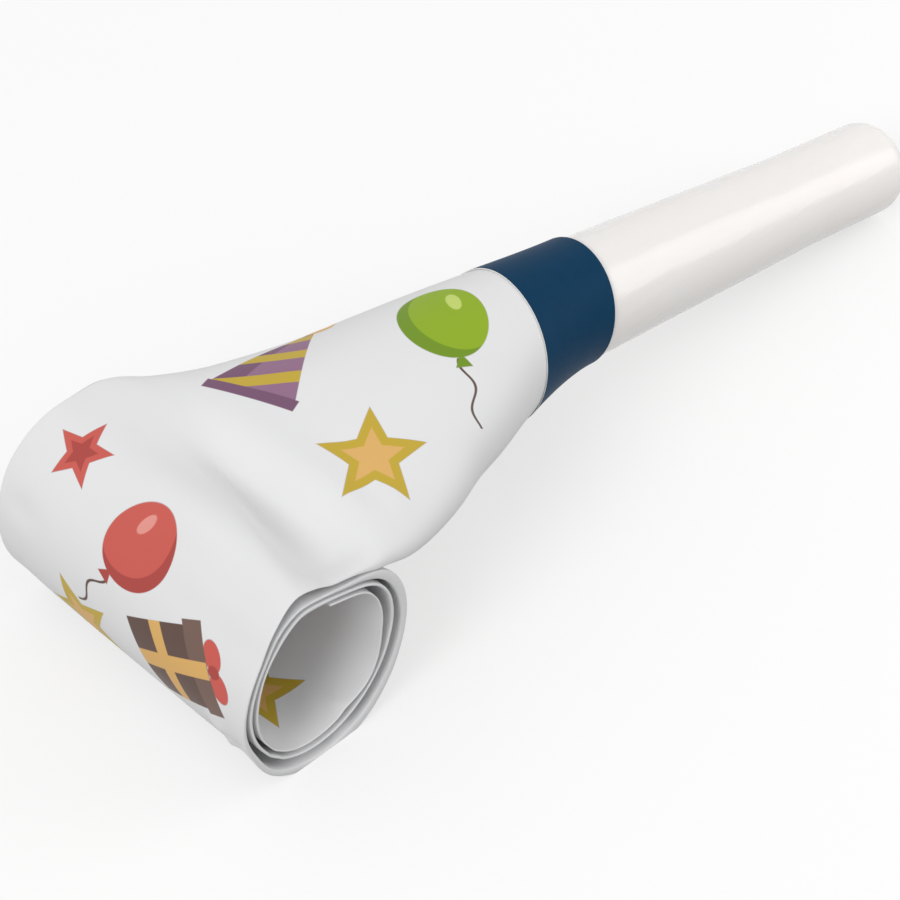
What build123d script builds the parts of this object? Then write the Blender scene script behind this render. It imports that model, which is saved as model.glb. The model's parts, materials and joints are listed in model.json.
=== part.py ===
from build123d import *
import math
import os

os.makedirs("parts", exist_ok=True)

# Party horn blower, in millimetres. It is modelled along its own axis: X runs from the roll to the mouth,
# Y across the paper and Z up, with zero on the axis at the edge of the paper sleeve. At the end it is laid
# down on the table, where it rests on the roll and on the lip of the mouthpiece.

# Mouthpiece, a tapered tube pushed into the paper sleeve
tube_root_d = 13.0
tube_lip_d = 11.0
tube_wall = 0.95
tube_reach = 52.3
tube_insert = 14.0
lip_land = 15.0
lip_round = 0.4

# Reed plug, pressed into the inner end of the mouthpiece, with the trough that the tongue beats on
plug_length = 8.0
plug_setback = 1.0
plug_fit = 0.02
trough_length = 18.0
trough_d = 6.0
trough_end = 1.2
channel_d = 3.6
reed_seat = 0.4

# Reed tongue and the wedge that pins its root
tongue_length = 17.0
tongue_width = 4.4
tongue_thickness = 0.15
tongue_root = 1.2
tongue_lift = 2.5
tongue_corner = 0.8
reed_gap = 0.2
wedge_depth = 4.0
wedge_height = 1.3
wedge_taper = 0.3
wedge_tab = 0.6

# Paper sleeve, round over the mouthpiece and pressed flat at the roll
paper = 0.1
tube_space = 0.3
flat_width = 36.0
flat_drop = 1.6
neck_length = 50.0
neck_sections = 10
flare_power = 1.85
flatten_power = 1.4
glue_line = 0.04

# Collar band, glued over the end of the sleeve
band_paper = 0.12
band_length = 12.0
band_inset = 0.4

# Roll of the flat sleeve, wound under itself, in stiff panels with a hinge at each join
roll_d = 22.4
turns = 3
turn_pitch = 1.0
panels_per_quarter = 3
panel_gap = 0.25
tip_seal = 3.0

# Recoil wire, glued inside the flat sleeve from the neck to the tip
wire_d = 0.2
wire_lead = 4.0

# Sizes that follow from the ones above
tube_root_r = tube_root_d / 2
tube_lip_r = tube_lip_d / 2
bore_root_r = tube_root_r - tube_wall
bore_lip_r = tube_lip_r - tube_wall
plug_back = plug_setback - tube_insert
plug_front = plug_back + plug_length
tongue_level = reed_seat + reed_gap + tongue_thickness / 2
wedge_level = reed_seat + 2 * reed_gap + tongue_thickness
strip_thickness = 2 * paper + tube_space
strip_r = (roll_d - strip_thickness) / 2
panel_angle = 90 / panels_per_quarter
quarter_step = turn_pitch / 4


def along(shape, x):
    """A shape that is built up along Z, turned to run along X from x."""
    return Pos(x, 0, 0) * Rot(0, 90, 0) * shape


def bar(radius, length):
    return Cylinder(radius, length, align=(Align.CENTER, Align.CENTER, Align.MIN))


def side_plate(points, width):
    """A closed outline of x and z points, made into a plate across Y."""
    return extrude(Plane.XZ * make_face(Polyline(*points, close=True)), width / 2, both=True)


def slab(start, end):
    """All of space that the horn reaches between two places along X."""
    reach = 4 * (roll_d + flat_width)
    return Pos((start + end) / 2, 0, 0) * Box(abs(end - start), reach, reach)


# Mouthpiece
def make_mouthpiece():
    outline = make_face(
        Polyline(
            (-tube_insert, bore_root_r),
            (-tube_insert, tube_root_r),
            (0, tube_root_r),
            (tube_reach - lip_land, tube_lip_r),
            (tube_reach, tube_lip_r),
            (tube_reach, bore_lip_r),
            (tube_reach - lip_land, bore_lip_r),
            (plug_front, bore_root_r),
            close=True,
        )
    )
    lip = outline.vertices().sort_by(Axis.X)[-2:]
    return revolve(Plane.XZ * fillet(lip, lip_round), Axis.X)


# Reed
def make_reed_plug():
    plug = along(bar(bore_root_r - plug_fit, plug_length), plug_back)
    trough = along(bar(trough_d / 2, trough_length), plug_front)
    above = Pos(plug_front + trough_length / 2, 0, reed_seat + trough_d / 2)
    trough -= above * Box(trough_length, trough_d, trough_d)
    channel = along(bar(channel_d / 2, plug_length + trough_length - trough_end), plug_back)
    slot_back = plug_front - wedge_depth
    slot_top = wedge_level + wedge_height
    slot = side_plate(
        [
            (slot_back, reed_seat),
            (plug_front + wedge_tab, reed_seat),
            (plug_front + wedge_tab, slot_top),
            (plug_front, slot_top),
            (slot_back, slot_top - wedge_taper),
        ],
        tongue_width + 2 * reed_gap,
    )
    return plug + trough - channel - slot


def make_reed_tongue():
    strip = Pos((tongue_length - tongue_root) / 2, 0) * Rectangle(tongue_length + tongue_root, tongue_width)
    strip = fillet(strip.vertices().sort_by(Axis.X)[-2:], tongue_corner)
    blade = extrude(strip, tongue_thickness / 2, both=True)
    return Pos(plug_front, 0, tongue_level) * Rot(0, -tongue_lift, 0) * blade


def make_reed_wedge():
    wedge_top = wedge_level + wedge_height - plug_fit
    return side_plate(
        [
            (plug_front - wedge_depth + plug_fit, wedge_level),
            (plug_front + wedge_tab, wedge_level),
            (plug_front + wedge_tab, wedge_top),
            (plug_front, wedge_top),
            (plug_front - wedge_depth + plug_fit, wedge_top - wedge_taper),
        ],
        tongue_width,
    )


# Paper neck and collar band
def sleeve(offset):
    """The sleeve's outer skin from the mouthpiece to the flat, moved out by offset, as a solid loft."""
    mouth_r = tube_root_r + glue_line + paper
    flatness = strip_thickness / flat_width
    sections = []
    for i in range(-1, neck_sections + 2):
        t = min(max(i / neck_sections, 0), 1)
        flat = 1 - math.cos(t * math.pi / 2) ** flatten_power
        half_width = mouth_r + (flat_width / 2 - mouth_r) * math.sin(t * math.pi / 2) ** flare_power
        half_height = half_width * (1 - flat * (1 - flatness))
        drop = flat_drop * t * t * (3 - 2 * t)
        place = Plane((-neck_length * i / neck_sections, 0, -drop), x_dir=(0, 1, 0), z_dir=(1, 0, 0))
        sections.append(place * Ellipse(half_width + offset, half_height + offset))
    return loft(sections)


def make_paper_neck():
    return (sleeve(0) - sleeve(-paper)) & slab(-neck_length + panel_gap / 2, 0)


def make_collar_band():
    skin = sleeve(glue_line + band_paper) - sleeve(glue_line)
    return skin & slab(-band_inset - band_length, -band_inset)


# Roll
def roll_quarters():
    """Each quarter turn of the strip's middle, from the top of the roll inwards: centre, radius, start angle."""
    quarters = []
    centre = Vector(-neck_length, -flat_drop - strip_r)
    for n in range(4 * turns):
        start = 90 + 90 * n
        quarters.append((centre, strip_r - n * quarter_step, start))
        end = math.radians(start + 90)
        centre += Vector(math.cos(end), math.sin(end)) * quarter_step
    return quarters


def arc_point(centre, radius, angle):
    return centre + Vector(math.cos(math.radians(angle)), math.sin(math.radians(angle))) * radius


def arc_plate(centre, radius, thickness, start, end, width):
    """A curved plate about the roll's axis, between two angles."""
    outer = CenterArc(centre, radius + thickness / 2, start, end - start)
    inner = CenterArc(centre, radius - thickness / 2, start, end - start)
    face = make_face([outer, Line(outer @ 1, inner @ 1), inner, Line(inner @ 0, outer @ 0)])
    return extrude(Plane.XZ * face, width / 2, both=True)


def make_panels():
    """The panels in order from the neck to the tip, and the point that each one hinges on."""
    panels, hinges = [], []
    for centre, radius, quarter_start in roll_quarters():
        margin = math.degrees(panel_gap / 2 / radius)
        for k in range(panels_per_quarter):
            start = quarter_start + panel_angle * k
            end = start + panel_angle
            last = len(panels) == 4 * turns * panels_per_quarter - 1
            space_end = end - math.degrees(tip_seal / radius) if last else end
            panel = arc_plate(centre, radius, strip_thickness, start + margin, end - margin, flat_width)
            space = arc_plate(centre, radius, tube_space, start, space_end, flat_width - 2 * paper)
            panels.append(panel - space)
            hinges.append(arc_point(centre, radius, start))
    return panels, hinges


# Recoil wire
def make_recoil_wire():
    quarters = roll_quarters()
    centre, radius, start = quarters[0]
    top = arc_point(centre, radius, start)
    runs = [Line(top + Vector(wire_lead, 0), top)]
    runs += [CenterArc(centre, radius, start, 90) for centre, radius, start in quarters[:-1]]
    centre, radius, start = quarters[-1]
    short = math.degrees((tip_seal + wire_d) / radius)
    runs.append(CenterArc(centre, radius, start, 90 - short))
    path = Plane.XZ * Wire(runs)
    section = Plane(path @ 0, z_dir=path % 0) * Circle(wire_d / 2)
    wire = sweep(section, path)
    print("recoil wire volume over section times length", wire.volume / (section.area * path.length))
    return wire


def least_turn_gap():
    """The least distance between points of the strip's middle that are over half a turn apart."""
    step = 2
    points = [
        arc_point(centre, radius, start + angle)
        for centre, radius, start in roll_quarters()
        for angle in range(0, 90, step)
    ]
    apart = 180 // step
    return min((a - b).length for i, a in enumerate(points) for b in points[i + apart :])


# Lying on the table: the roll's third quarter and the lip touch it, and the origin is on the table below the
# middle of the whole length.
def table_place():
    quarters = roll_quarters()
    under, under_r, _ = quarters[2]
    front, front_r, _ = quarters[1]
    half = strip_thickness / 2
    lip_x = tube_reach - lip_round
    run = lip_x - under.X
    rise = -under.Y - tube_lip_r
    tilt = math.atan2(rise, run) + math.asin((under_r + half) / math.hypot(run, rise))
    sin, cos = math.sin(tilt), math.cos(tilt)
    floor = lip_x * sin + tube_lip_r * cos
    mouth_end = lip_x * cos + (tube_lip_r - lip_round) * sin + lip_round
    roll_end = front.X * cos + front.Y * sin - front_r - half
    return Pos(-(mouth_end + roll_end) / 2, 0, floor) * Rot(0, math.degrees(tilt), 0)


panels, hinges = make_panels()
nodes = {
    "mouthpiece": make_mouthpiece(),
    "reed_plug": make_reed_plug(),
    "reed_tongue": make_reed_tongue(),
    "reed_wedge": make_reed_wedge(),
    "paper_neck": make_paper_neck(),
    "collar_band": make_collar_band(),
    "recoil_wire": make_recoil_wire(),
}
nodes.update({f"roll_panel_{n:02d}": panel for n, panel in enumerate(panels, 1)})

place = table_place()
for name, shape in nodes.items():
    laid = place * shape
    laid.label = name
    export_step(laid, f"parts/{name}.step")

middle_gap = least_turn_gap()
print("nodes", len(nodes), "tilt on the table", place.orientation.Y)
print("least gap between turns of the paper", middle_gap - strip_thickness)
print("least gap between turns of the wire", middle_gap - wire_d)
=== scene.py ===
import json
import math

import bpy
import numpy as np
from mathutils import Matrix, Vector


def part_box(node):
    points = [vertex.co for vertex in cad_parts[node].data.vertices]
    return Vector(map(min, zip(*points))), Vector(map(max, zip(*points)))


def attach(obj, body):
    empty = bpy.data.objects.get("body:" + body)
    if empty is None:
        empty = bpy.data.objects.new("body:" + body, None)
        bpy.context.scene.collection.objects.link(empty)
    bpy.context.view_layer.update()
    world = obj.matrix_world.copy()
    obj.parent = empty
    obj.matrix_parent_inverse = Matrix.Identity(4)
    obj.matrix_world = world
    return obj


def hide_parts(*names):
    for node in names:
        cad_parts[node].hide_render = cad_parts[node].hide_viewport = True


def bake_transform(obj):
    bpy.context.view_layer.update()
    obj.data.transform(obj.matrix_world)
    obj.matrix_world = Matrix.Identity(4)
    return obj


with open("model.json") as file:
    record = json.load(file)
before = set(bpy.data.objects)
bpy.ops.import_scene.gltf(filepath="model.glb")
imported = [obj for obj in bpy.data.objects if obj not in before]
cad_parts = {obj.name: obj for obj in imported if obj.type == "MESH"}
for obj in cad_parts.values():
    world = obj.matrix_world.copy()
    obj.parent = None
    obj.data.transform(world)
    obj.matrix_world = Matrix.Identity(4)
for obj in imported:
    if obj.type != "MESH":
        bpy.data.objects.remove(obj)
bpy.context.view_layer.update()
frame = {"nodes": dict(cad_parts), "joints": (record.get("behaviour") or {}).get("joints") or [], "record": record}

# Sizes are in millimetres, in the horn's own axes: X along the tube towards the mouth, Y across the paper
# and Z up, with zero on the tube's axis at the edge of the paper sleeve. Angles are in degrees. The winding
# angle of the roll is zero at the first hinge, on top, and grows along the strip.
mm = 0.001
top_angle = 90
whole_turn = 360
land_to_sleeve = 44.8
land_length = 15.0

# Paper sleeve: its thickness, the mesh's points and steps, half the strip's height at its folds, room for the
# wire in its middle, how square the strip is, and how far the paper stays off the table
paper = 0.1
face_points = 48
neck_steps = 64
panel_steps = 12
fold_half = 0.13
wire_room = 0.09
fold_square = 9.0
table_gap = 0.02

# Neck, at places along X: half width on the near and far side, height of the crown and of the belly over the
# middle, height of the middle, how much higher the near side is, and how square the section is
neck_shape = [
    (0.0, 6.64, 6.64, 6.64, 6.64, 0.0, 0.0, 2.0),
    (-3.0, 6.80, 6.72, 6.74, 6.74, -0.08, 0.0, 2.0),
    (-7.0, 7.40, 7.00, 7.15, 7.10, -0.40, 0.0, 2.0),
    (-12.4, 8.80, 7.60, 7.75, 7.60, -0.90, 0.0, 2.0),
    (-20.0, 11.6, 8.90, 7.80, 7.55, -1.40, -0.2, 2.0),
    (-26.0, 13.5, 9.80, 7.30, 6.90, -1.65, -0.4, 2.0),
    (-31.0, 15.5, 10.6, 6.60, 5.90, -1.85, -0.7, 2.0),
    (-36.0, 17.0, 11.7, 5.60, 4.50, -2.05, -0.9, 2.1),
    (-40.0, 17.8, 13.0, 4.50, 3.20, -2.10, -0.8, 2.2),
    (-43.5, 18.0, 14.6, 3.30, 1.15, -1.90, -0.4, 2.4),
    (-46.0, 18.0, 15.8, 1.40, 0.38, -1.55, -0.1, 2.8),
    (-48.0, 18.0, 16.6, 0.35, 0.25, -1.30, 0.2, 4.5),
    (-50.0, 18.0, 17.0, 0.22, 0.22, -1.05, 0.4, 9.0),
]
join_run = 6.0

# Hollow behind a fold on top of the roll, where the neck begins, at places across: depth, place of the fold
# along X, and how far the hollow reaches into the neck. Then how fast it dives, and how round the fold is.
valley_shape = [
    (-18.0, 1.50, -54.0, 9.2),
    (-14.5, 3.10, -52.8, 8.2),
    (-9.5, 3.60, -51.3, 6.4),
    (-4.0, 3.00, -49.8, 4.7),
    (1.0, 1.70, -48.9, 3.8),
    (5.0, 0.50, -48.4, 3.2),
    (10.0, 0.0, -48.2, 3.0),
]
valley_dive = 0.42
valley_round = 0.4

# Beyond the end of the hollow the paper bulges instead: height, place along X, spread, where across it begins
# and over how much it grows
bulge_height = 0.8
bulge_x = -47.5
bulge_spread = 3.0
bulge_start = 4.5
bulge_grow = 1.4

# Shallow dents and ridges of the neck: place along and across, height, and spread along and across
neck_dents = [
    (-43.5, -7.0, 0.30, 2.2, 3.0),
    (-40.2, -11.0, -0.35, 1.8, 2.4),
    (-38.6, -7.0, -0.22, 1.1, 2.4),
    (-38.8, -13.4, 0.22, 1.1, 2.0),
    (-36.0, 2.5, 0.18, 3.0, 3.0),
    (-33.0, 6.5, -0.22, 5.0, 3.0),
    (-27.0, -6.0, 0.15, 4.0, 4.0),
    (-22.0, 3.0, -0.12, 3.5, 3.0),
]

# The cut end of the sleeve isn't quite square: how much it is slanted along X, and by how much towards which
# side
end_slant = [(-32.0, 0.0), (-14.0, 1.0), (0.0, 1.0)]
end_shift = 0.4
end_tilt = 0.15
slant_way = (0.72, 0.69)

# Rims of the roll: how far the paper stands out from its even spiral at a winding angle, at the near fold,
# and at the far fold in every turn. The near rim's share falls off across the paper by a power.
near_rim = [
    (0, 0.85), (10, 1.25), (22, 1.40), (37, 0.1), (56, -1.4), (80, -1.9), (108, -1.75), (133, -1.4),
    (156, -0.3), (180, 0.25), (205, 0.4), (222, 0.3), (240, 0.0), (262, -0.1), (288, 0.3), (315, 0.8),
    (335, 1.0), (350, 0.85), (365, 0.75), (380, 0.6), (395, 0.1), (412, -0.95), (426, -1.4), (440, -1.6),
    (490, -1.4), (515, -0.8), (540, -0.6), (600, -0.95), (632, -0.6), (655, 0.2), (672, 0.80), (690, 1.15),
    (705, 1.15), (720, 1.05), (740, 0.70), (770, -0.5), (805, -1.3), (850, -1.0), (885, -0.5), (920, -0.8),
    (940, -1.0), (960, -0.6), (1000, -0.6), (1026, 0.3), (1038, 0.8), (1054, 1.4), (1080, 1.4),
]
far_turn = [
    (0, 0.4), (22, 0.3), (52, -0.8), (88, -1.5), (125, -1.2), (156, -0.4), (183, 0.0), (211, 0.1),
    (241, -0.1), (273, -0.1), (306, 0.2), (333, 0.45), (360, 0.4),
]
rim_power = 1.25

# How much narrower the far side of the strip is, by winding angle
far_narrowing = [(0, 1.0), (60, 0.0)]

# Half height to which the near fold stands open, by winding angle, how far in from the fold, and what share
# of it lifts the fold
fold_open = [
    (-30, 0.0), (60, 0.0), (110, 0.1), (160, 0.35), (200, 0.6), (240, 0.45), (275, 0.3), (305, 0.5),
    (325, 0.5), (345, 0.22), (370, 0.08), (700, 0.05), (735, 0.12), (790, 0.0), (1080, 0.0),
]
fold_open_reach = 1.7
fold_lift = 0.5

# Dents and ridges of the paper: winding angle, place across, height, and spread in degrees and millimetres
creases = [
    (127, -16.6, -0.40, 4, 0.5),
    (119, -14.0, 0.35, 6, 1.1),
    (138, -13.2, -0.30, 5, 1.2),
    (131, -14.9, 0.40, 5, 0.8),
    (206, -16.2, -0.40, 6, 1.0),
    (224, -15.2, 0.30, 5, 1.2),
    (17, -4.0, 0.75, 13, 9.0),
    (492, -16.8, 0.05, 5, 1.4),
    (512, -17.2, -0.15, 4, 1.2),
    (866, -17.0, 0.10, 5, 1.5),
    (935, -17.0, -0.25, 6, 1.4),
    (75, 14.5, -0.25, 9, 2.2),
    (140, 15.5, -0.35, 7, 1.6),
    (200, 16.4, 0.25, 7, 1.2),
]


# Horn's own axes in the row frame
lip = next(m for m in frame["record"]["mounts"] if m["name"] == "lip_land")
along = Vector(lip["axis"]).normalized()
across = Vector((0, 1, 0))
up = along.cross(across)
axes = np.array([along, across, up])
origin = np.array(Vector(lip["pos_m"]) - along * land_to_sleeve * mm)


def to_row(points):
    """Points in the horn's axes, in millimetres, as points of the row frame in metres."""
    return origin + np.asarray(points, float) @ axes * mm


def to_horn(point):
    return axes @ (np.asarray(point, float) - origin) / mm


def toward(angle):
    """The way that an angle points, in X and Z."""
    return np.stack([np.cos(np.radians(angle)), np.sin(np.radians(angle))], -1)


def smooth_curve(knots, at):
    """A smooth curve through (place, value, ...) knots, with a level end on either side."""
    knots = np.array(sorted(knots), float)
    x, v = knots[:, 0], knots[:, 1:]
    slope = np.zeros_like(v)
    slope[1:-1] = (v[2:] - v[:-2]) / (x[2:] - x[:-2])[:, None]
    at = np.clip(at, x[0], x[-1])
    i = np.clip(np.searchsorted(x, at, "right") - 1, 0, len(x) - 2)
    width = (x[i + 1] - x[i])[..., None]
    t = ((at - x[i])[..., None]) / width
    return (
        v[i] * (1 + 2 * t) * (1 - t) ** 2
        + slope[i] * width * t * (1 - t) ** 2
        + v[i + 1] * t * t * (3 - 2 * t)
        - slope[i + 1] * width * t * t * (1 - t)
    )


# The roll's even spiral, from the hinges: each panel is an arc of the same turn
hinge_joints = [j for j in frame["joints"] if j["name"].startswith("unroll")]
hinges = np.array([to_horn(j["pos_m"])[[0, 2]] for j in hinge_joints])
panels = len(hinges)
panel_turn = hinge_joints[1]["range_deg"][1]
panel_starts = top_angle + panel_turn * np.arange(panels)
chords = np.linalg.norm(np.diff(hinges, axis=0), axis=1)
radii = chords / (2 * math.sin(math.radians(panel_turn / 2)))
radii = np.append(radii, radii[-1])
centres = hinges - radii[:, None] * toward(panel_starts)
panel_lengths = radii * math.radians(panel_turn)
hinge_lengths = np.append(0, np.cumsum(panel_lengths))
neck_length = -hinges[0, 0]
flat_half = (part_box("roll_panel_01")[1].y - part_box("roll_panel_01")[0].y) / 2 / mm
wind_end = panels * panel_turn
turns = int(wind_end // whole_turn)


def panel_of(wind):
    return np.clip((np.asarray(wind) // panel_turn).astype(int), 0, panels - 1)


def strip_length(wind):
    """Distance along the strip from the first hinge."""
    i = panel_of(wind)
    return hinge_lengths[i] + radii[i] * np.radians(wind - i * panel_turn)


far_rim = [(w + whole_turn * turn, v) for turn in range(turns) for w, v in far_turn[turn > 0 :]]


def valley(x, y):
    """Height of the bulge between neck and roll less the hollow there, which is deepest on the near side."""
    depth, fold, reach = np.moveaxis(smooth_curve(valley_shape, y), -1, 0)
    past = valley_round * np.logaddexp(0, (x - fold) / valley_round)
    hollow = depth * (1 - np.exp(-past / (valley_dive * reach))) * np.exp(-((past / reach) ** 4))
    beyond = 1 / (1 + np.exp((bulge_start - y) / bulge_grow))
    bulge = bulge_height * np.exp(-(((x - bulge_x) / bulge_spread) ** 2)) * beyond
    return bulge - hollow


def stand_out(wind, y):
    """How far the middle of the strip stands out from the even spiral."""
    share = np.clip(0.5 - y / (2 * flat_half), 0, 1) ** rim_power
    near = smooth_curve(near_rim, wind)[..., 0]
    far = smooth_curve(far_rim, wind)[..., 0]
    total = share * near + (1 - share) * far
    for below in range(turns + 1):
        total = total + valley(-neck_length - strip_length(wind - whole_turn * below), y)
    for crease_wind, crease_y, height, spread, reach in creases:
        apart = ((wind - crease_wind) / spread) ** 2 + ((y - crease_y) / reach) ** 2
        total = total + height * np.exp(-apart)
    return total


# Sections of the sleeve: points from the near fold over the top to the far fold, and back underneath
ring_points = 2 * face_points
ring = -np.cos(np.pi * np.arange(ring_points) / face_points)
on_top = np.arange(ring_points) < face_points


def section(near, far, crown, belly, square):
    """Places across and heights of one ring about its middle."""
    y = np.where(ring < 0, near, far) * ring
    height = (1 - np.abs(ring) ** square).clip(0) ** (1 / square)
    return y, np.where(on_top, crown, -belly) * height


def neck_middle(x, y):
    """Height of the middle between crown and belly, which runs into the strip at the first hinge."""
    middle, lean = smooth_curve(neck_shape, np.array(float(x)))[4:6]
    flat = hinges[0, 1] + stand_out(np.array(0.0), y) - valley(-neck_length, y)
    join = np.clip((-neck_length + join_run - x) / join_run, 0, 1)
    join = join * join * (3 - 2 * join)
    total = (middle - lean * y / flat_half) * (1 - join) + flat * join + valley(x, y)
    for dent_x, dent_y, height, along_spread, across_spread in neck_dents:
        apart = ((x - dent_x) / along_spread) ** 2 + ((y - dent_y) / across_spread) ** 2
        total = total + height * np.exp(-apart)
    return total


def neck_section(x, grow=0.0):
    near, far, crown, belly, middle, _, square = smooth_curve(neck_shape, np.array(x))
    y, z = section(near + grow, far + grow, crown + grow, belly + grow, square)
    z = z + neck_middle(x, y)
    slant = smooth_curve(end_slant, np.array(float(x)))[0]
    ahead = slant * (end_shift + end_tilt * (y * slant_way[0] + (z - middle) * slant_way[1]))
    return np.stack([x + ahead, y, z], 1)


def strip_section(wind, grow=0.0):
    narrower = smooth_curve(far_narrowing, np.array(float(wind)))[0]
    half = fold_half + wire_room + grow
    y, h = section(flat_half + grow, flat_half - narrower + grow, half, half, fold_square)
    half_at = fold_half + wire_room * (1 - (y / flat_half) ** 2).clip(0) + grow
    opened = smooth_curve(fold_open, np.array(float(wind)))[0]
    opened = opened * np.exp(-(((y + flat_half) / fold_open_reach) ** 2))
    h = h * (half_at + opened) / half + opened * fold_lift
    i = panel_of(wind)
    radial = radii[i] + stand_out(wind, y) + h
    xz = centres[i] + radial[:, None] * toward(top_angle + wind)
    return np.stack([xz[:, 0], y, xz[:, 1]], 1)


neck_places = -neck_length * np.arange(neck_steps) / neck_steps
winds = panel_turn / panel_steps * np.arange(panels * panel_steps + 1)
sleeve_lengths = np.append(-neck_places, neck_length + strip_length(winds))


def sleeve_skin(grow):
    rows = [neck_section(x, grow) for x in neck_places] + [strip_section(w, grow) for w in winds]
    points = to_row(np.array(rows))
    points[..., 2] = np.maximum(points[..., 2], table_gap * mm)
    return points


def grid_normals(points):
    along_ring = np.roll(points, -1, 1) - np.roll(points, 1, 1)
    along_strip = np.gradient(points, axis=0)
    normals = np.cross(along_ring, along_strip)
    return normals / np.linalg.norm(normals, axis=2, keepdims=True)


def print_places(points):
    """Distance round the sleeve of each side of each face column: from the top's middle, and then underneath
    from the far fold on."""
    steps = np.linalg.norm(np.diff(np.concatenate([points, points[:, :1]], 1), axis=1), axis=2) / mm
    top = np.concatenate([np.zeros((len(steps), 1)), np.cumsum(steps[:, :face_points], 1)], 1)
    under = np.concatenate([np.zeros((len(steps), 1)), np.cumsum(steps[:, face_points:], 1)], 1)
    top -= top[:, [face_points // 2]]
    under += 2 * flat_half - under[:, [face_points // 2]]
    left = np.concatenate([top[:, :-1], under[:, :-1]], 1)
    right = np.concatenate([top[:, 1:], under[:, 1:]], 1)
    return left, right


# Shader nodes
class Nodes:
    """Adds shader nodes to a tree, with values or other nodes' sockets on their inputs."""

    def __init__(self, tree):
        self.tree = tree

    def add(self, kind, inputs=None, **settings):
        node = self.tree.nodes.new("ShaderNode" + kind)
        for name, value in settings.items():
            setattr(node, name, value)
        for name, value in (inputs or {}).items():
            self.set(node.inputs[name], value)
        return node

    def set(self, socket, value):
        if isinstance(value, bpy.types.NodeSocket):
            self.tree.links.new(value, socket)
        else:
            socket.default_value = value

    def math(self, operation, *values):
        node = self.add("Math", dict(enumerate(values)), operation=operation)
        return node.outputs[0]

    def mix(self, share, first, second):
        node = self.add("Mix", {0: share, 6: first, 7: second}, data_type="RGBA")
        return node.outputs[2]

    def noise(self, place, scale, detail=3.0, rough=0.5):
        inputs = {"Vector": place, "Scale": scale, "Detail": detail, "Roughness": rough}
        return self.add("TexNoise", inputs).outputs[0]

    def span(self, value, low, high):
        """A value of 0 to 1 spread over low to high."""
        return self.add("MapRange", {0: value, 1: 0.0, 2: 1.0, 3: low, 4: high}).outputs[0]


def srgb(red, green, blue):
    """A colour of 0 to 255 as it is seen, as linear light with full opacity."""
    shares = (red / 255, green / 255, blue / 255)
    linear = [c / 12.92 if c <= 0.04045 else ((c + 0.055) / 1.055) ** 2.4 for c in shares]
    return (*linear, 1.0)


def new_material(name, settings):
    material = bpy.data.materials.new(name)
    material.use_nodes = True
    shader = material.node_tree.nodes["Principled BSDF"]
    for socket, value in settings.items():
        shader.inputs[socket].default_value = value
    return material, Nodes(material.node_tree), shader


# Printed motifs, drawn with distances in millimetres from their outlines, negative inside. Each drawing is a
# list of outlines and inks, the later over the earlier.
lime = srgb(142, 174, 24)
leaf = srgb(112, 146, 22)
coral = srgb(203, 92, 82)
brick = srgb(172, 70, 64)
mauve = srgb(146, 108, 136)
plum = srgb(118, 82, 110)
mustard = srgb(196, 168, 56)
tan = srgb(222, 176, 104)
brown = srgb(94, 72, 64)
print_edge = 0.05


def disc(n, x, y, at_x, at_y, half_x, half_y):
    """An upright ellipse about a place."""
    dx = n.math("DIVIDE", n.math("SUBTRACT", x, at_x), half_x)
    dy = n.math("DIVIDE", n.math("SUBTRACT", y, at_y), half_y)
    length = n.math("SQRT", n.math("ADD", n.math("MULTIPLY", dx, dx), n.math("MULTIPLY", dy, dy)))
    return n.math("MULTIPLY", n.math("SUBTRACT", length, 1.0), min(half_x, half_y))


def block(n, x, y, at_x, at_y, half_x, half_y):
    """An upright rectangle about a place."""
    dx = n.math("SUBTRACT", n.math("ABSOLUTE", n.math("SUBTRACT", x, at_x)), half_x)
    dy = n.math("SUBTRACT", n.math("ABSOLUTE", n.math("SUBTRACT", y, at_y)), half_y)
    return n.math("MAXIMUM", dx, dy)


def cone(n, x, y, foot, top, half_foot):
    """A triangle that stands on a foot at a height, with its point on top."""
    slope = half_foot / (top - foot)
    side = n.math("ADD", n.math("ABSOLUTE", x), n.math("MULTIPLY", n.math("SUBTRACT", y, top), slope))
    side = n.math("DIVIDE", side, math.hypot(1, slope))
    return n.math("MAXIMUM", side, n.math("SUBTRACT", foot, y))


def star(n, x, y, outer, inner, points=5):
    half = math.pi / points
    turn = n.math("ARCTAN2", x, y)
    fold = n.math("ABSOLUTE", n.math("WRAP", turn, half, -half))
    length = n.math("SQRT", n.math("ADD", n.math("MULTIPLY", x, x), n.math("MULTIPLY", y, y)))
    px = n.math("MULTIPLY", length, n.math("COSINE", fold))
    py = n.math("MULTIPLY", length, n.math("SINE", fold))
    edge_x, edge_y = inner * math.cos(half) - outer, inner * math.sin(half)
    size = math.hypot(edge_x, edge_y)
    return n.math(
        "ADD",
        n.math("MULTIPLY", n.math("SUBTRACT", px, outer), edge_y / size),
        n.math("MULTIPLY", py, -edge_x / size),
    )


def wave_line(n, x, y, low, high, half, swing, length):
    """An upright wavy line between two heights: half its width, how far it swings and over what length."""
    shift = n.math("MULTIPLY", n.math("SINE", n.math("MULTIPLY", y, 2 * math.pi / length)), swing)
    side = n.math("SUBTRACT", n.math("ABSOLUTE", n.math("SUBTRACT", x, shift)), half)
    ends = n.math("SUBTRACT", n.math("ABSOLUTE", n.math("SUBTRACT", y, (low + high) / 2)), (high - low) / 2)
    return n.math("MAXIMUM", side, ends)


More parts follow.
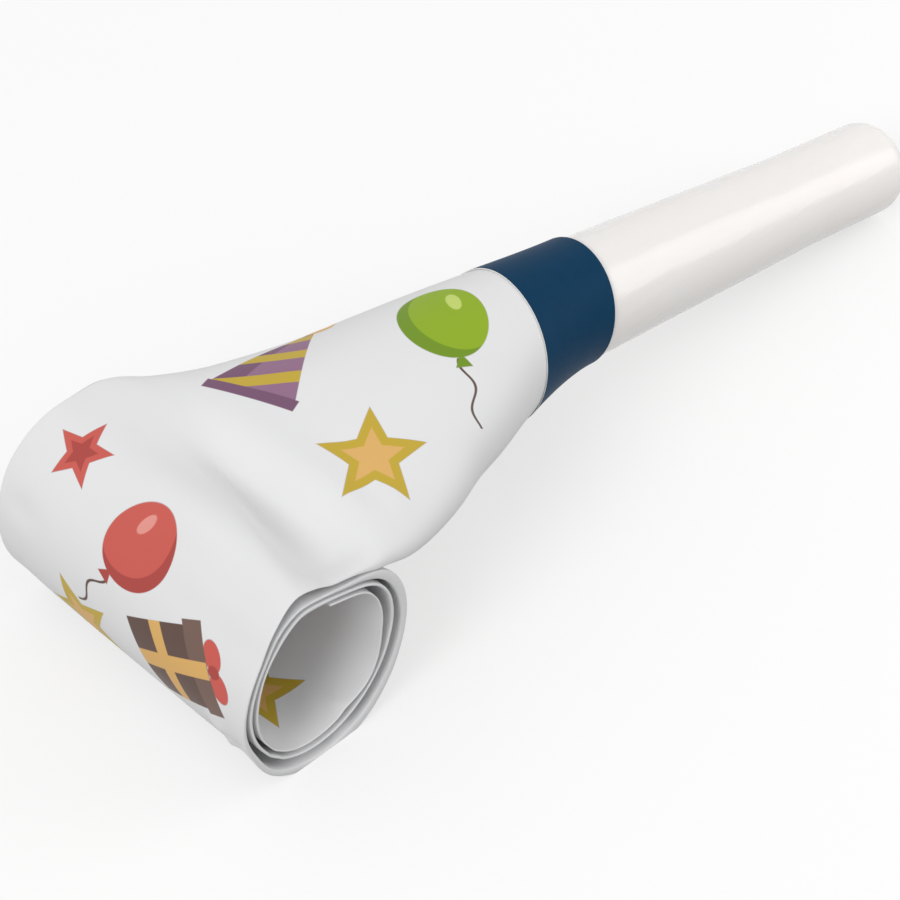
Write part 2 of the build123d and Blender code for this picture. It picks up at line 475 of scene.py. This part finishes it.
def draw_balloon(n, x, y):
    body = disc(n, x, y, 0, 2.2, 4.4, 5.2)
    shade = n.math("MAXIMUM", body, n.math("MULTIPLY", disc(n, x, y, -1.3, 2.9, 4.3, 5.1), -1.0))
    return [
        (wave_line(n, x, y, -10.5, -3.0, 0.16, 0.55, 5.0), brown),
        (cone(n, x, y, -4.1, -2.4, 0.95), leaf),
        (body, lime),
        (shade, leaf),
        (disc(n, x, y, -1.7, 4.3, 0.7, 1.3), srgb(196, 214, 110)),
    ]


def draw_balloon_red(n, x, y):
    body = disc(n, x, y, 0, 2.0, 4.0, 4.7)
    shade = n.math("MAXIMUM", body, n.math("MULTIPLY", disc(n, x, y, 1.2, 2.7, 3.9, 4.6), -1.0))
    return [
        (wave_line(n, x, y, -10.0, -2.8, 0.16, -0.55, 5.0), brown),
        (cone(n, x, y, -3.8, -2.1, 0.9), brick),
        (body, coral),
        (shade, brick),
        (disc(n, x, y, 1.5, 3.9, 0.6, 1.2), srgb(228, 150, 140)),
    ]


def draw_star(n, x, y):
    return [
        (star(n, x, y, 5.6, 2.5), mustard),
        (star(n, x, y, 3.2, 1.45), tan),
    ]


def draw_star_small(n, x, y):
    return [(star(n, x, y, 3.6, 1.6), coral), (star(n, x, y, 1.9, 0.9), brick)]


def draw_hat(n, x, y):
    outline = cone(n, x, y, -6.0, 6.6, 4.7)
    stripe_slope, stripe_half_gap, stripe_half = 0.45, 2.1, 0.85
    shade_start, shade_slope = 1.1, 0.12
    rise = n.math("ADD", y, n.math("MULTIPLY", x, stripe_slope))
    stripes = n.math("ABSOLUTE", n.math("WRAP", rise, stripe_half_gap, -stripe_half_gap))
    stripes = n.math("SUBTRACT", stripes, stripe_half)
    beside = n.math("ADD", x, n.math("MULTIPLY", y, shade_slope))
    side = n.math("MAXIMUM", outline, n.math("SUBTRACT", shade_start, beside))
    return [
        (outline, mauve),
        (side, plum),
        (n.math("MAXIMUM", outline, stripes), mustard),
        (block(n, x, y, 0, -6.1, 4.9, 0.65), plum),
        (disc(n, x, y, 0, 6.9, 1.55, 1.55), tan),
        (disc(n, x, y, -0.4, 7.3, 0.7, 0.7), srgb(240, 212, 160)),
    ]


def draw_gift(n, x, y):
    bow_left = disc(n, x, y, -1.7, 5.2, 1.75, 1.1)
    bow_right = disc(n, x, y, 1.7, 5.2, 1.75, 1.1)
    return [
        (n.math("MINIMUM", bow_left, bow_right), coral),
        (disc(n, x, y, 0, 5.0, 0.75, 0.75), brick),
        (block(n, x, y, 0, -1.6, 4.6, 4.4), brown),
        (block(n, x, y, 0, 3.1, 5.2, 1.2), srgb(116, 92, 82)),
        (block(n, x, y, 0, -0.9, 0.95, 5.1), tan),
        (block(n, x, y, 0, -2.0, 4.6, 0.8), tan),
    ]


def motif(name, draw):
    """A node group that draws one motif about its own middle: place in, colour and cover out."""
    tree = bpy.data.node_groups.new(name, "ShaderNodeTree")
    tree.interface.new_socket("Place", in_out="INPUT", socket_type="NodeSocketVector")
    tree.interface.new_socket("Colour", in_out="OUTPUT", socket_type="NodeSocketColor")
    tree.interface.new_socket("Cover", in_out="OUTPUT", socket_type="NodeSocketFloat")
    n = Nodes(tree)
    start = tree.nodes.new("NodeGroupInput")
    split = n.add("SeparateXYZ", {0: start.outputs["Place"]})
    colour, cover = brown, 0.0
    for distance, ink in draw(n, split.outputs[0], split.outputs[1]):
        share = n.add("MapRange", {0: distance, 1: -print_edge, 2: print_edge, 3: 1.0, 4: 0.0}).outputs[0]
        colour = n.mix(share, colour, ink)
        cover = n.math("MAXIMUM", cover, share)
    end = tree.nodes.new("NodeGroupOutput")
    n.set(end.inputs["Colour"], colour)
    n.set(end.inputs["Cover"], cover)
    return tree


# Where the motifs are on the sheet: place along and across, turn, and which one. The layout repeats along the
# strip, and what is nearer the mouth than its start is bare.
print_repeat = 66.0
print_start = 13.5
no_limit = -1e3
print_layout = [
    (22.0, -3.0, 20, "balloon"),
    (35.0, 6.5, 70, "hat"),
    (37.5, -9.5, -35, "star"),
    (61.0, 0.5, 120, "balloon_red"),
    (55.5, 11.0, 10, "star_small"),
    (67.5, -9.0, 150, "gift"),
    (73.0, 5.5, 60, "star"),
    (26.0, 33.0, 200, "gift"),
    (43.0, 43.5, 95, "balloon"),
    (47.0, 27.0, 30, "star_small"),
    (62.0, 36.0, 140, "hat"),
    (72.5, 45.5, 15, "star"),
    (68.0, 30.0, 160, "balloon_red"),
]
motif_drawings = {
    "balloon": draw_balloon,
    "balloon_red": draw_balloon_red,
    "star": draw_star,
    "star_small": draw_star_small,
    "hat": draw_hat,
    "gift": draw_gift,
}
print_map = "print"


def paper_finish(n, shader, place, base, grain=0.012):
    """Fibres, a faint mottle and soft waves of satin paper, by place on the sheet in millimetres."""
    wave_height = 0.10
    fibre = n.noise(place, scale=2.4, detail=4.0, rough=0.65)
    mottle = n.noise(place, scale=0.16, detail=2.0)
    shade = n.math("MULTIPLY", n.span(mottle, 0.975, 1.0), n.span(fibre, 0.985, 1.0))
    grey = n.add("CombineColor", {0: shade, 1: shade, 2: shade}).outputs[0]
    tint = n.add("Mix", {0: 1.0, 6: base, 7: grey}, data_type="RGBA", blend_type="MULTIPLY")
    n.set(shader.inputs["Base Color"], tint.outputs[2])
    n.set(shader.inputs["Roughness"], n.span(fibre, 0.40, 0.56))
    wave = n.math("MULTIPLY", n.noise(place, scale=0.11, detail=2.0), wave_height)
    relief = n.math("ADD", n.math("MULTIPLY", fibre, grain), wave)
    bump = n.add("Bump", {"Strength": 0.6, "Distance": mm, "Height": relief})
    n.set(shader.inputs["Normal"], bump.outputs[0])


paper_white = srgb(230, 230, 231)
paper_inside = srgb(230, 229, 227)
navy_dark, navy_light = srgb(6, 53, 82), srgb(11, 59, 91)
tube_dark, tube_light = srgb(255, 245, 240), srgb(255, 250, 245)
wire_dark, wire_light = srgb(168, 168, 170), srgb(196, 197, 200)


def printed_paper():
    material, n, shader = new_material("printed_paper", {"Specular IOR Level": 0.35, "IOR": 1.45})
    place = n.add("UVMap", uv_map=print_map).outputs[0]
    place = n.add("VectorMath", {0: place, 1: (print_start, no_limit, 0)}, operation="MAXIMUM").outputs[0]
    groups = {name: motif("motif_" + name, draw) for name, draw in motif_drawings.items()}
    colour = paper_white
    half = (print_repeat / 2, 2 * flat_half, 1)
    for s, v, turn, name in print_layout:
        apart = n.add("VectorMath", {0: place, 1: (s, v, 0)}, operation="SUBTRACT").outputs[0]
        wrapped = n.add("VectorMath", {0: apart, 1: half, 2: [-h for h in half]}, operation="WRAP").outputs[0]
        turning = {"Vector": wrapped, "Angle": math.radians(-turn)}
        turned = n.add("VectorRotate", turning, rotation_type="Z_AXIS").outputs[0]
        drawn = n.add("Group", node_tree=groups[name])
        n.set(drawn.inputs["Place"], turned)
        colour = n.mix(drawn.outputs["Cover"], colour, drawn.outputs["Colour"])
    paper_finish(n, shader, place, colour)
    return material


def bare_paper():
    material, n, shader = new_material("bare_paper", {"Specular IOR Level": 0.25})
    place = n.add("UVMap", uv_map=print_map).outputs[0]
    paper_finish(n, shader, place, paper_inside, grain=0.02)
    return material


def navy_paper():
    material, n, shader = new_material("navy_paper", {"Specular IOR Level": 0.05})
    place = n.add("UVMap", uv_map=print_map).outputs[0]
    ink = n.mix(n.noise(place, scale=0.5), navy_dark, navy_light)
    paper_finish(n, shader, place, ink)
    return material


def object_place(n):
    return n.add("TexCoord").outputs["Object"]


def tube_plastic():
    material, n, shader = new_material(
        "tube_plastic",
        {
            "IOR": 1.46,
            "Transmission Weight": 0.08,
            "Subsurface Weight": 0.35,
            "Subsurface Radius": (1.0, 0.85, 0.75),
            "Subsurface Scale": 2 * mm,
            "Coat Weight": 0.5,
            "Coat Roughness": 0.2,
            "Specular IOR Level": 0.5,
        },
    )
    place = object_place(n)
    n.set(shader.inputs["Base Color"], n.mix(n.noise(place, scale=120.0), tube_dark, tube_light))
    n.set(shader.inputs["Roughness"], n.span(n.noise(place, scale=900.0, detail=2.0), 0.14, 0.24))
    along_tube = n.add("Mapping", {"Vector": place, "Scale": (30.0, 900.0, 900.0)}).outputs[0]
    streaks = n.noise(along_tube, scale=1.0, detail=2.0)
    bump = n.add("Bump", {"Strength": 0.08, "Distance": mm, "Height": streaks})
    n.set(shader.inputs["Normal"], bump.outputs[0])
    return material


def moulded_plastic(name, first, second):
    material, n, shader = new_material(name, {})
    place = object_place(n)
    n.set(shader.inputs["Base Color"], n.mix(n.noise(place, scale=260.0), first, second))
    fine = n.noise(place, scale=2400.0)
    n.set(shader.inputs["Roughness"], n.span(fine, 0.34, 0.52))
    bump = n.add("Bump", {"Strength": 0.15, "Distance": 0.05 * mm, "Height": fine})
    n.set(shader.inputs["Normal"], bump.outputs[0])
    return material


def spring_wire():
    material, n, shader = new_material("spring_wire", {"Metallic": 1.0})
    place = object_place(n)
    n.set(shader.inputs["Base Color"], n.mix(n.noise(place, scale=700.0, detail=2.0), wire_dark, wire_light))
    n.set(shader.inputs["Roughness"], n.span(n.noise(place, scale=3000.0, detail=2.0), 0.22, 0.4))
    return material


materials = {
    "printed_paper": printed_paper(),
    "bare_paper": bare_paper(),
    "navy_paper": navy_paper(),
    "tube_plastic": tube_plastic(),
    "reed_plastic": moulded_plastic("reed_plastic", srgb(226, 224, 218), srgb(236, 235, 230)),
    "tongue_film": moulded_plastic("tongue_film", srgb(222, 216, 196), srgb(232, 228, 210)),
    "spring_wire": spring_wire(),
}


# Pieces of the sleeve
def add_object(name, data):
    made = bpy.data.objects.new(name, data)
    bpy.context.scene.collection.objects.link(made)
    return made


def make_object(name, points, faces, face_materials, used, corner_normals, corner_places):
    mesh = bpy.data.meshes.new(name)
    mesh.from_pydata(points.tolist(), [], faces.tolist())
    for material in used:
        mesh.materials.append(materials[material])
    mesh.polygons.foreach_set("material_index", face_materials)
    mesh.polygons.foreach_set("use_smooth", np.ones(len(faces), bool))
    layer = mesh.uv_layers.new(name=print_map)
    layer.uv.foreach_set("vector", corner_places.astype(np.float32).ravel())
    mesh.normals_split_custom_set(corner_normals.tolist())
    return add_object(name, mesh)


def shell(name, outer, inner, normals, lengths, sides, skin, core):
    """A closed piece of a paper tube between two rows of rings, with its cut edges."""
    rows = len(outer)
    row, column = np.meshgrid(np.arange(rows - 1), np.arange(ring_points), indexing="ij")
    row, column = row.ravel(), column.ravel()
    after = (column + 1) % ring_points

    def corner(r, c, inside):
        return r * ring_points + c + (rows * ring_points if inside else 0)

    walls = [(row, column), (row, after), (row + 1, after), (row + 1, column)]
    outside = np.stack([corner(r, c, False) for r, c in walls], 1)
    inside = np.stack([corner(r, c, True) for r, c in walls[::-1]], 1)
    c = np.arange(ring_points)
    d = (c + 1) % ring_points
    edges, edge_normals = [], []
    for r, flip in ((0, False), (rows - 1, True)):
        quad = np.stack([corner(r, c, False), corner(r, c, True), corner(r, d, True), corner(r, d, False)], 1)
        edges.append(quad[:, ::-1] if flip else quad)
        way = (outer[min(r + 1, rows - 1)] - outer[max(r - 1, 0)]).mean(0)
        way = way / np.linalg.norm(way) * (1 if flip else -1)
        edge_normals.append(np.tile(way, (4 * ring_points, 1)))
    points = np.concatenate([outer.reshape(-1, 3), inner.reshape(-1, 3)])
    faces = np.concatenate([outside, inside, *edges])
    flat = np.concatenate([normals.reshape(-1, 3), -normals.reshape(-1, 3)])
    wall_normals = [flat[wall].reshape(-1, 3) for wall in (outside, inside)]
    corner_normals = np.concatenate([*wall_normals, *edge_normals])
    left, right = sides
    s, t = lengths[row], lengths[row + 1]
    a, b, e, f = left[row, column], right[row, column], right[row + 1, column], left[row + 1, column]
    places = np.stack([np.stack([s, a], 1), np.stack([s, b], 1), np.stack([t, e], 1), np.stack([t, f], 1)], 1)
    rim = np.tile(np.stack([np.zeros(ring_points), left[0]], 1)[:, None], (1, 4, 1))
    corner_places = np.concatenate([places, places[:, ::-1], rim, rim]).reshape(-1, 2)
    kinds = np.repeat([0, 1], [len(outside), len(inside) + 2 * ring_points])
    return make_object(name, points, faces, kinds, [skin, core], corner_normals, corner_places)


outer_skin = sleeve_skin(0.0)
inner_skin = sleeve_skin(-paper)
skin_normals = grid_normals(outer_skin)
skin_sides = print_places(outer_skin)


def sleeve_piece(name, first, last):
    rows = slice(first, last + 1)
    sides = [side[rows] for side in skin_sides]
    return shell(
        name, outer_skin[rows], inner_skin[rows], skin_normals[rows], sleeve_lengths[rows], sides,
        "printed_paper", "bare_paper",
    )


def panel_name(n):
    return f"panel_{n:02d}"


def bend(piece):
    """Bakes the piece's placement into its points."""
    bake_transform(piece)


neck = sleeve_piece("paper_neck_sleeve", 0, neck_steps)
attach(neck, "horn")
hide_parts("paper_neck")

half_steps = panel_steps // 2
for n in range(1, panels + 1):
    first = (n - 1) * panel_steps - (half_steps if n > 1 else 0)
    last = (n - 1) * panel_steps + half_steps
    piece = sleeve_piece(f"roll_strip_{n:02d}", neck_steps + first, neck_steps + last)
    bend(piece)
    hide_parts(f"roll_panel_{n:02d}")

tip = sleeve_piece("roll_strip_tip", neck_steps + last, neck_steps + len(winds) - 1)
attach(tip, panel_name(panels))
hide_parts(f"roll_panel_{panels:02d}")


# Collar band
band_inset = 0.4
band_length = 12.0
band_steps = 26
band_paper = 0.12
glue_line = 0.04


def make_band():
    places = -band_inset - band_length * np.arange(band_steps + 1) / band_steps
    outer = to_row(np.array([neck_section(x, glue_line + band_paper) for x in places]))
    inner = to_row(np.array([neck_section(x, glue_line) for x in places]))
    normals, sides = grid_normals(outer), print_places(outer)
    band = shell("collar_band_wrap", outer, inner, normals, -places, sides, "navy_paper", "bare_paper")
    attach(band, "horn")
    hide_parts("collar_band")


make_band()


# Recoil wire, in the middle of the flat sleeve
wire_r = 0.1
wire_sides = 10
wire_lead = 4.0
wire_stop = 3.0
lead_points = 9
bend_points = 7


def wire_path(wind):
    i = panel_of(wind)
    radial = radii[i] + stand_out(np.array(float(wind)), np.array(0.0))
    x, z = centres[i] + radial * toward(top_angle + wind)
    return np.array([x, 0, z])


def tube(name, path):
    """A round wire along points of the horn's middle plane."""
    path = np.array(path)
    way = np.gradient(path, axis=0)
    way /= np.linalg.norm(way, axis=1, keepdims=True)
    side = np.stack([-way[:, 2], np.zeros(len(way)), way[:, 0]], 1)
    turn = 2 * np.pi * np.arange(wire_sides) / wire_sides
    circle = np.cos(turn)[None, :, None] * side[:, None] + np.sin(turn)[None, :, None] * np.array([0, 1, 0])
    points = to_row(path[:, None] + wire_r * circle).reshape(-1, 3)
    faces = []
    for r in range(len(path) - 1):
        here, there = r * wire_sides, (r + 1) * wire_sides
        for c in range(wire_sides):
            d = (c + 1) % wire_sides
            faces.append([here + c, here + d, there + d, there + c])
    faces.append(list(range(wire_sides))[::-1])
    faces.append([(len(path) - 1) * wire_sides + c for c in range(wire_sides)])
    mesh = bpy.data.meshes.new(name)
    mesh.from_pydata(points.tolist(), [], faces)
    mesh.materials.append(materials["spring_wire"])
    mesh.polygons.foreach_set("use_smooth", [len(face) == 4 for face in faces])
    made = add_object(name, mesh)
    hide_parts("recoil_wire")
    return made


def make_wire():
    lead_places = np.linspace(-neck_length + wire_lead, -neck_length, lead_points)
    lead = [(x, 0, neck_middle(x, np.array(0.0))) for x in lead_places]
    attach(tube("recoil_wire_lead", lead), "horn")
    stop = strip_length(np.array(wind_end)) - wire_stop
    for n in range(1, panels + 1):
        first = (n - 1) * panel_turn - (panel_turn / 2 if n > 1 else 0)
        last = (n - 1) * panel_turn + panel_turn / 2
        run = np.linspace(first, last, bend_points)
        run = run[strip_length(run) < stop]
        if len(run) > 1:
            bend(tube(f"recoil_wire_{n:02d}", [wire_path(w) for w in run]))


make_wire()

# Mouthpiece, turned from its section, with a full round lip
tube_root_r = 6.5
tube_lip_r = 5.5
tube_wall = 0.95
tube_reach = 52.3
tube_insert = 14.0
bore_taper_start = -5.0
lip_run = 1.7
lip_share = 0.8
tube_turn_steps = 96
taper_points = 8
land_points = 4
lip_points = 10
bore_lip_points = 6
sharp_angle = 50


def lathe(name, profile, material):
    """A closed ring turned about the horn's axis from places along X and their radii."""
    profile = np.array(profile)
    turn = 2 * np.pi * np.arange(tube_turn_steps) / tube_turn_steps
    points = np.stack(
        [
            np.repeat(profile[:, 0], tube_turn_steps),
            np.outer(profile[:, 1], np.cos(turn)).ravel(),
            np.outer(profile[:, 1], np.sin(turn)).ravel(),
        ],
        1,
    )
    row, column = np.meshgrid(np.arange(len(profile)), np.arange(tube_turn_steps), indexing="ij")
    row, column = row.ravel() * tube_turn_steps, column.ravel()
    below = (row + tube_turn_steps) % len(points)
    after = (column + 1) % tube_turn_steps
    faces = np.stack([row + column, row + after, below + after, below + column], 1)
    mesh = bpy.data.meshes.new(name)
    mesh.from_pydata(to_row(points).tolist(), [], faces.tolist())
    mesh.materials.append(materials[material])
    mesh.polygons.foreach_set("use_smooth", np.ones(len(faces), bool))
    mesh.set_sharp_from_angle(angle=math.radians(sharp_angle))
    return add_object(name, mesh)


def make_mouthpiece():
    land_start = tube_reach - land_length
    bore_lip_r, bore_root_r = tube_lip_r - tube_wall, tube_root_r - tube_wall
    outside = [(-tube_insert, tube_root_r), (-tube_insert / 2, tube_root_r), (0, tube_root_r)]
    for x in np.linspace(0, land_start, taper_points)[1:]:
        outside.append((x, tube_root_r + (tube_lip_r - tube_root_r) * x / land_start))
    outside += [(x, tube_lip_r) for x in np.linspace(land_start, tube_reach - lip_run, land_points)[1:-1]]
    out_round = tube_wall * lip_share
    for turn in np.linspace(0, math.pi / 2, lip_points):
        x = tube_reach - lip_run * (1 - math.sin(turn))
        outside.append((x, tube_lip_r - out_round * (1 - math.cos(turn))))
    in_round = tube_wall - out_round
    inside = []
    for turn in np.linspace(0, math.pi / 2, bore_lip_points)[1:]:
        x = tube_reach - in_round * (1 - math.cos(turn))
        inside.append((x, bore_lip_r + in_round * (1 - math.sin(turn))))
    inside += [(land_start, bore_lip_r), (bore_taper_start, bore_root_r), (-tube_insert, bore_root_r)]
    tube_piece = lathe("mouthpiece_tube", outside + inside, "tube_plastic")
    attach(tube_piece, "horn")
    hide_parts("mouthpiece")


make_mouthpiece()

# Reed, which is shown as its CAD nodes
for node, name in (
    ("reed_plug", "reed_plastic"),
    ("reed_wedge", "reed_plastic"),
    ("reed_tongue", "tongue_film"),
):
    slots = frame["nodes"][node].data.materials
    slots.clear()
    slots.append(materials[name])


# Floor, light and camera. A lamp has a place and size in metres and a power in watts.
floor_reach = 4.0
sky_light = 0.70
floor_white = 0.60
floor_shade = 0.4
floor_bounce = srgb(146, 146, 146)
lamps = [
    ("key", (-0.80, -0.18, 0.57), 0.45, 3.6),
    ("side", (0.21, -0.16, 0.14), 0.24, 0.21),
]


def seen_ray(n):
    """One for rays that show the surroundings, straight or in gloss or glass, and zero for other rays."""
    path = n.add("LightPath").outputs
    mirrored = n.math("MAXIMUM", path["Is Glossy Ray"], path["Is Transmission Ray"])
    return n.math("MAXIMUM", path["Is Camera Ray"], mirrored)


def make_floor():
    mesh = bpy.data.meshes.new("floor")
    corners = [(x * floor_reach, y * floor_reach, 0) for x, y in ((-1, -1), (1, -1), (1, 1), (-1, 1))]
    mesh.from_pydata(corners, [], [(0, 1, 2, 3)])
    material, n, shader = new_material("floor", {"Roughness": 0.9, "Specular IOR Level": 0.0})
    place = object_place(n)
    pale = n.mix(n.noise(place, scale=3.0), srgb(248, 248, 248), srgb(251, 251, 251))
    dim = n.mix(floor_shade, (0, 0, 0, 1), pale)
    n.set(shader.inputs["Base Color"], n.mix(seen_ray(n), floor_bounce, dim))
    shader.inputs["Emission Color"].default_value = (1, 1, 1, 1)
    n.set(shader.inputs["Emission Strength"], n.math("MULTIPLY", seen_ray(n), floor_white))
    mesh.materials.append(material)
    floor = add_object("floor", mesh)


def make_light():
    world = bpy.data.worlds.new("studio")
    bpy.context.scene.world = world
    world.use_nodes = True
    n = Nodes(world.node_tree)
    back = world.node_tree.nodes["Background"]
    back.inputs["Color"].default_value = (1, 1, 1, 1)
    n.set(back.inputs["Strength"], n.span(seen_ray(n), sky_light, 1.0))
    for name, place, size, power in lamps:
        lamp = bpy.data.lights.new(name, "AREA")
        lamp.shape = "DISK"
        lamp.size = size
        lamp.energy = power
        made = add_object(name, lamp)
        made.location = place
        made.rotation_mode = "QUATERNION"
        made.rotation_quaternion = (-Vector(place)).to_track_quat("-Z", "Y")


# Camera in the horn's axes: place in millimetres, the way it looks and its up
camera_at = (-175.97, -133.49, 139.43)
camera_way = (0.6214, 0.5166, -0.5890)
camera_up = (0.3441, 0.4955, 0.7976)
camera_lens = 99.62
sensor = 36.0


def make_camera():
    data = bpy.data.cameras.new("camera")
    data.lens = camera_lens
    data.sensor_width = sensor
    data.clip_start = 0.01
    data.clip_end = 10.0
    camera = add_object("camera", data)
    back = -Vector(np.array(camera_way) @ axes).normalized()
    side = Vector(np.array(camera_up) @ axes).cross(back).normalized()
    turn = Matrix((side, back.cross(side), back)).transposed()
    camera.matrix_world = Matrix.Translation(to_row(camera_at)) @ turn.to_4x4()
    bpy.context.scene.camera = camera


make_floor()
make_light()
make_camera()
bpy.context.scene.view_settings.view_transform = "Standard"
